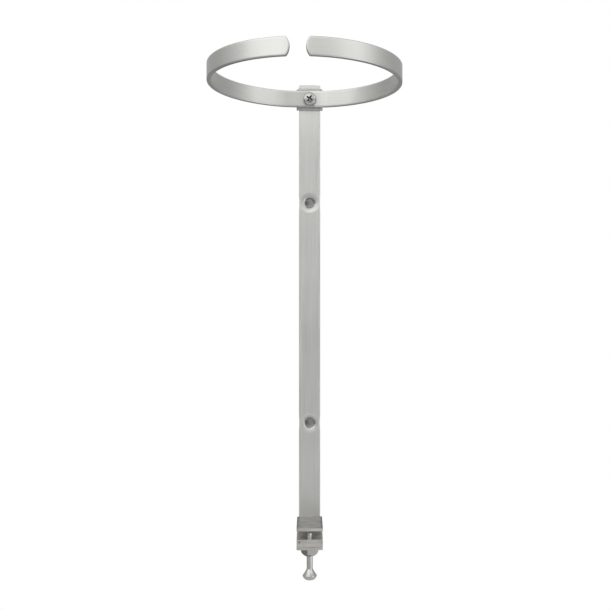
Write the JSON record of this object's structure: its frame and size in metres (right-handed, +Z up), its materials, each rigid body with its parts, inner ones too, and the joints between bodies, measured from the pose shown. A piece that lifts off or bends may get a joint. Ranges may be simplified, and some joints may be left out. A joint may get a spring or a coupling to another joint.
{
  "type": "open ring holder",
  "caption": "Open flat-strip hoop screwed to the top of a flat mast, with a slotted foot that slides on to a plate and locks with a spring plunger.",
  "frame": {"origin": "centre of the upper jaw's seat in the foot, on the plunger's axis, where the holder bears on the plate that carries it", "axes": "+Z up along the mast, -Y out of the foot's mouth and towards the hoop's gap, +X across the mast"},
  "size_m": [0.1659, 0.1797, 0.455],
  "materials": {
    "hoop_aluminium": "satin, brushed along the strip",
    "mast_anodised": "matte anodised",
    "saddle_steel": "dull rolled steel",
    "plated_hardware": "bright zinc plating",
    "foot_steel": "raw milled steel with cutter marks",
    "plunger_steel": "bright turned stainless steel",
    "spring_steel": "plain spring wire"
  },
  "bodies": {
    "stand": {"mast": "mast_anodised", "foot": "foot_steel", "mast_screws": "plated_hardware", "hoop_saddle": "saddle_steel", "pivot_screw": "plated_hardware", "front_washer": "plated_hardware", "rear_washer": "plated_hardware", "pivot_nut": "plated_hardware", "plunger_body": "plunger_steel", "plunger_spring": "spring_steel"},
    "hoop": {"hoop": "hoop_aluminium"},
    "plunger": {"plunger_pin": "plunger_steel", "pull_knob": "plunger_steel"}
  },
  "joints": [
    {"name": "hoop_swivel", "type": "hinge", "parent": "stand", "child": "hoop", "pos_m": [0, 0.04065, 0.3952], "axis": [0, 1, 0], "continuous": true},
    {"name": "plunger_pull", "type": "slide", "parent": "stand", "child": "plunger", "axis": [0, 0, -1], "range_m": [0, 0.0055], "stiffness_N_per_m": 900, "springref_m": -0.006, "deforming": ["plunger_spring"]}
  ]
}
